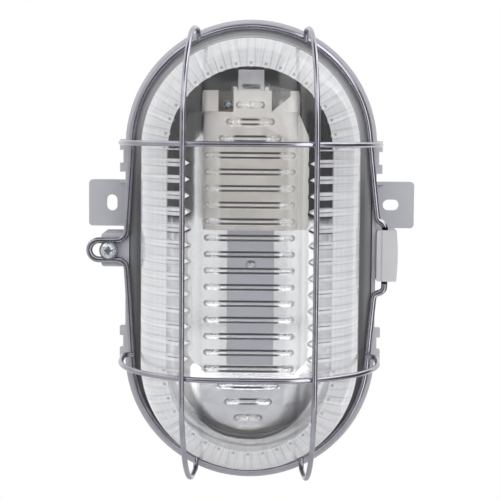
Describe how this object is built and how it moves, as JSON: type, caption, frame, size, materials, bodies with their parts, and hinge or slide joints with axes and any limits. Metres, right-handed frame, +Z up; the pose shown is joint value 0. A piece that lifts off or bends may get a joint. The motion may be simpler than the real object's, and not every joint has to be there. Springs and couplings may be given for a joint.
{
  "type": "cage light",
  "caption": "Oval wall light: grey plastic housing, ribbed glass cover over a reflector and lampholder, and a hinged wire cage held by a screw.",
  "frame": {"origin": "centre of the housing's back face, on the wall", "axes": "+Z up the lamp's long axis, +X to the right seen from the front, the lamp stands out from the wall towards -Y"},
  "size_m": [0.1686, 0.1109, 0.229],
  "materials": {
    "housing_plastic": "moulded, fine satin grain, light grey",
    "hinge_plastic": "moulded, satin, light grey",
    "gasket_rubber": "soft sealing rubber, grey",
    "cover_glass": "clear pressed glass with moulded ribs",
    "reflector_aluminium": "bright polished pressed sheet",
    "holder_plastic": "cream heat-resistant moulding",
    "bracket_plastic": "moulded, light grey",
    "contact_brass": "bright stamped brass",
    "screw_zinc": "zinc plated, bluish",
    "cage_paint": "silver-grey paint on drawn wire, semi-gloss",
    "grommet_rubber": "soft black-grey rubber"
  },
  "bodies": {
    "base": {"housing": "housing_plastic", "gasket": "gasket_rubber", "glass_cover": "cover_glass", "reflector": "reflector_aluminium", "reflector_screw": "screw_zinc", "holder_bracket": "bracket_plastic", "holder_screws": "screw_zinc", "lampholder_body": "holder_plastic", "screw_shell": "contact_brass", "centre_contact": "contact_brass", "contact_insulator": "holder_plastic", "terminal_left": "contact_brass", "terminal_right": "contact_brass", "terminal_screws": "screw_zinc", "cable_grommet": "grommet_rubber", "blanking_grommet": "grommet_rubber", "hinge_block": "hinge_plastic", "hinge_screws": "screw_zinc"},
    "cage": {"cage_ring": "cage_paint", "cage_wire_left": "cage_paint", "cage_wire_right": "cage_paint", "cage_wire_upper": "cage_paint", "cage_wire_lower": "cage_paint", "closure_washer": "screw_zinc"},
    "closure_screw": {"closure_screw": "screw_zinc"}
  },
  "joints": [
    {"name": "cage_swing", "type": "hinge", "parent": "base", "child": "cage", "pos_m": [0.0669, -0.03795, 0], "axis": [0, 0, 1], "range_deg": [0, 140]},
    {"name": "screw_release", "type": "slide", "parent": "cage", "child": "closure_screw", "axis": [0, -1, 0], "range_m": [0, 0.009]}
  ]
}
